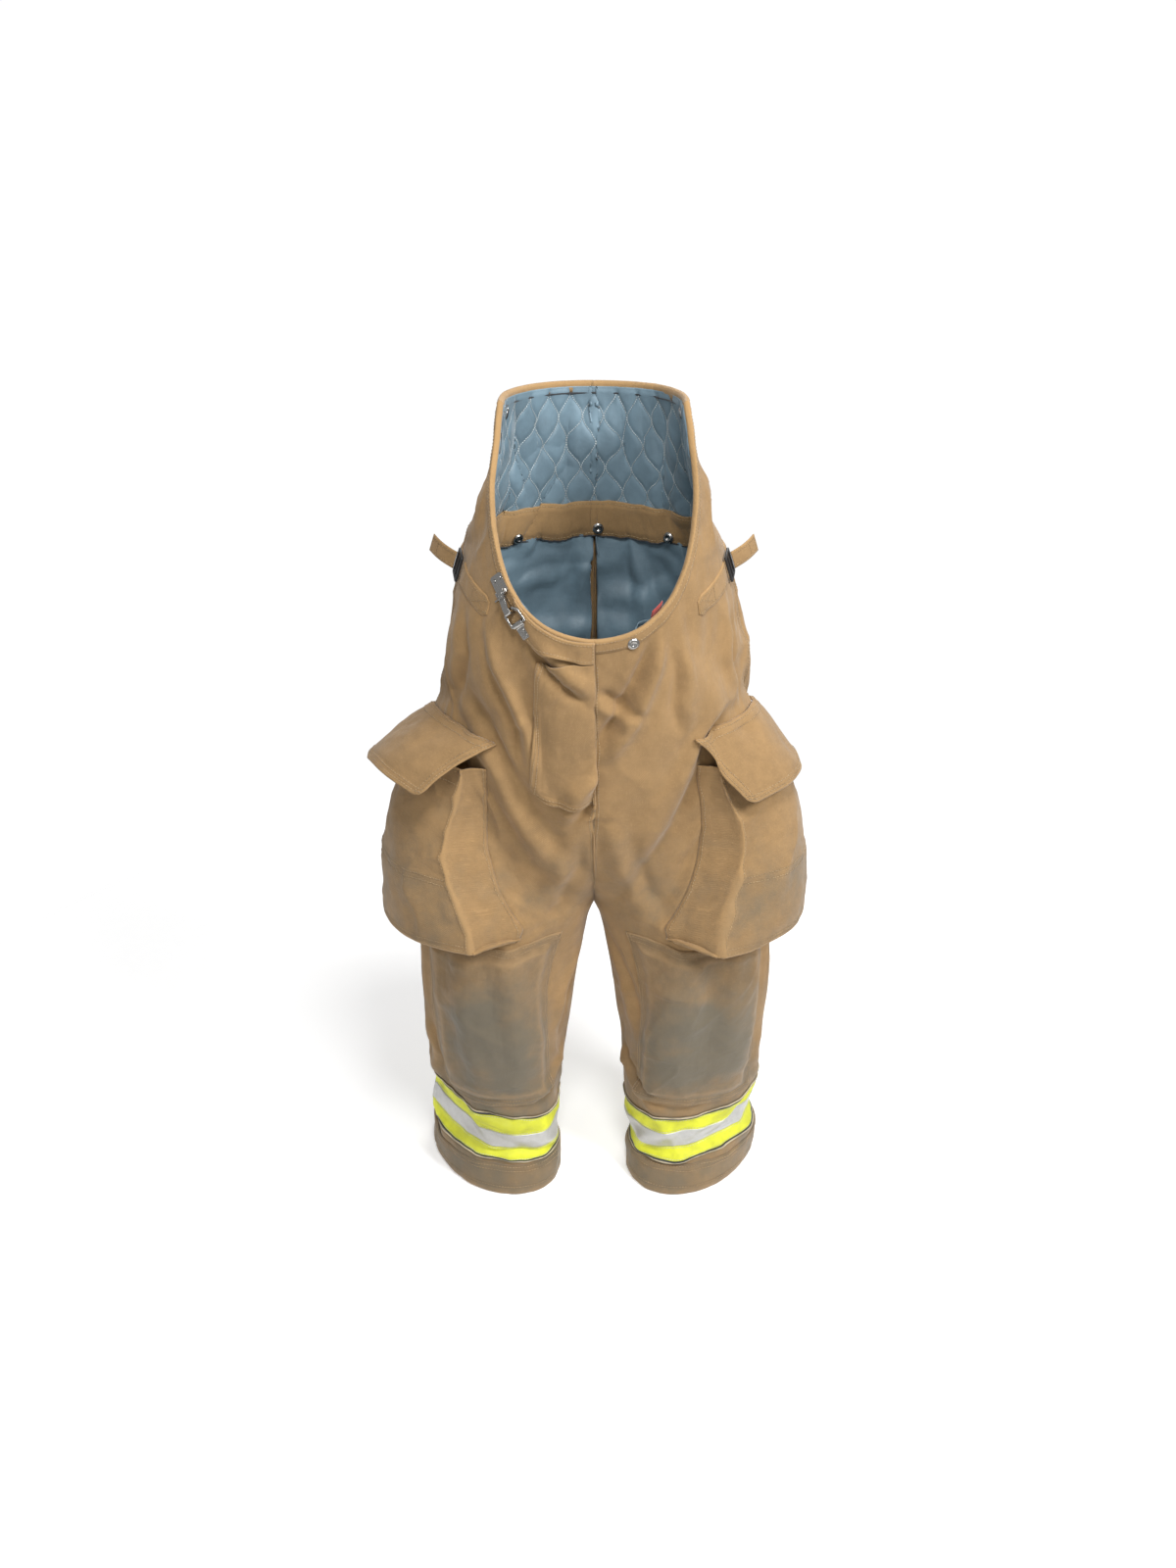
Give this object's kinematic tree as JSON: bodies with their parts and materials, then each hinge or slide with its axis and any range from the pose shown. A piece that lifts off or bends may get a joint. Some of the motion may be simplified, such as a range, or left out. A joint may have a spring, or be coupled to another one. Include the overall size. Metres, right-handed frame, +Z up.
{
  "type": "bunker pants",
  "caption": "Standing firefighter's bunker pants with a high quilted back, bellows cargo pockets, knee patches, lime and silver ankle trim, hook-and-dee front and side take-up straps.",
  "frame": {"origin": "on the floor, under the middle of the garment's bounding box, standing on its cuffs", "axes": "+Z up, the front faces -Y, +X is the wearer's left"},
  "size_m": [0.5952, 0.3134, 1.15],
  "materials": {
    "shell_canvas": "tan aramid duck canvas, matt, worn and soiled at the knees and pockets",
    "knee_canvas": "browner and heavier duck canvas of patches and cuffs, matt",
    "quilted_lining": "slate-blue face cloth quilted in pale thread, satin",
    "knee_foam": "dark closed-cell padding, matt",
    "lime_trim": "fluorescent lime trim, satin",
    "silver_trim": "silver retroreflective stripe, satin",
    "hook_and_loop": "black hook-and-loop fastener, matt",
    "nickel_hardware": "nickel-plated steel, polished and lightly scratched",
    "black_plastic": "black moulded acetal, satin",
    "red_webbing": "red woven tab, matt"
  },
  "bodies": {
    "garment": {"bib_facing": "shell_canvas", "bib_lining": "quilted_lining", "bib_snap_left": "nickel_hardware", "bib_snap_right": "nickel_hardware", "cuff_binding_left": "knee_canvas", "cuff_binding_right": "knee_canvas", "dee_plate": "nickel_hardware", "dee_rivet_1": "nickel_hardware", "dee_rivet_2": "nickel_hardware", "facing_snap_1": "nickel_hardware", "facing_snap_2": "nickel_hardware", "facing_snap_3": "nickel_hardware", "fly_shield": "shell_canvas", "front_snap": "nickel_hardware", "hook_pin": "nickel_hardware", "hook_plate": "nickel_hardware", "hook_rivet_1": "nickel_hardware", "hook_rivet_2": "nickel_hardware", "knee_pad_left": "knee_foam", "knee_pad_right": "knee_foam", "knee_patch_left": "knee_canvas", "knee_patch_right": "knee_canvas", "liner_left": "quilted_lining", "liner_right": "quilted_lining", "liner_tab": "red_webbing", "pocket_face_left": "shell_canvas", "pocket_face_right": "shell_canvas", "pocket_gusset_left": "shell_canvas", "pocket_gusset_right": "shell_canvas", "pocket_loop_strip_left": "hook_and_loop", "pocket_loop_strip_right": "hook_and_loop", "shell_back_left": "shell_canvas", "shell_back_right": "shell_canvas", "shell_front_left": "shell_canvas", "shell_front_right": "shell_canvas", "takeup_strap_left": "shell_canvas", "takeup_strap_right": "shell_canvas", "takeup_tab_left": "shell_canvas", "takeup_tab_right": "shell_canvas", "trim_stripe_left": "silver_trim", "trim_stripe_right": "silver_trim", "trim_tape_left": "lime_trim", "trim_tape_right": "lime_trim", "waistband_overlap": "shell_canvas"},
    "pocket_flap_left": {"pocket_flap_left": "shell_canvas", "flap_hook_strip_left": "hook_and_loop"},
    "pocket_flap_right": {"pocket_flap_right": "shell_canvas", "flap_hook_strip_right": "hook_and_loop"},
    "fly_flap": {"fly_flap": "shell_canvas"},
    "closure_hook": {"closure_hook": "nickel_hardware"},
    "closure_dee": {"closure_dee": "nickel_hardware"},
    "buckle_left": {"takeup_buckle_left": "black_plastic"},
    "tail_left": {"strap_tail_left": "shell_canvas"},
    "buckle_right": {"takeup_buckle_right": "black_plastic"},
    "tail_right": {"strap_tail_right": "shell_canvas"}
  },
  "joints": [
    {"name": "pocket_flap_lift_left", "type": "hinge", "parent": "garment", "child": "pocket_flap_left", "pos_m": [0.2059, -0.0434, 0.7481], "axis": [-0.5442, -0.8389, 0], "range_deg": [0, 120]},
    {"name": "pocket_flap_lift_right", "type": "hinge", "parent": "garment", "child": "pocket_flap_right", "pos_m": [-0.1934, -0.0434, 0.7481], "axis": [-0.5442, 0.8389, 0], "range_deg": [-18, 100]},
    {"name": "fly_open", "type": "hinge", "parent": "garment", "child": "fly_flap", "pos_m": [0.0118, -0.1348, 0.7628], "axis": [0, -0.1499, 0.9887], "range_deg": [0, 120]},
    {"name": "hook_lift", "type": "hinge", "parent": "garment", "child": "closure_hook", "pos_m": [-0.1067, -0.1225, 0.9435], "axis": [-0.6498, 0.4182, -0.6347], "range_deg": [0, 80]},
    {"name": "dee_swing", "type": "hinge", "parent": "garment", "child": "closure_dee", "pos_m": [-0.0852, -0.1405, 0.911], "axis": [0.7073, -0.3305, 0.6249], "range_deg": [0, 24]},
    {"name": "buckle_tilt_left", "type": "hinge", "parent": "garment", "child": "buckle_left", "pos_m": [0.1749, -0.0418, 0.9447], "axis": [0.2981, 0.1441, -0.9436], "range_deg": [0, 30]},
    {"name": "tail_swing_left", "type": "hinge", "parent": "buckle_left", "child": "tail_left", "pos_m": [0.1825, -0.0175, 0.9509], "axis": [0.2981, 0.1441, -0.9436], "range_deg": [-30, 60]},
    {"name": "buckle_tilt_right", "type": "hinge", "parent": "garment", "child": "buckle_right", "pos_m": [-0.1623, -0.0418, 0.9447], "axis": [0.2981, -0.1441, 0.9436], "range_deg": [0, 30]},
    {"name": "tail_swing_right", "type": "hinge", "parent": "buckle_right", "child": "tail_right", "pos_m": [-0.17, -0.0175, 0.9509], "axis": [0.2981, -0.1441, 0.9436], "range_deg": [-30, 60]}
  ],
  "couplings": [
    {"joint": "dee_swing", "follows": "hook_lift", "ratio": 0.3}
  ]
}
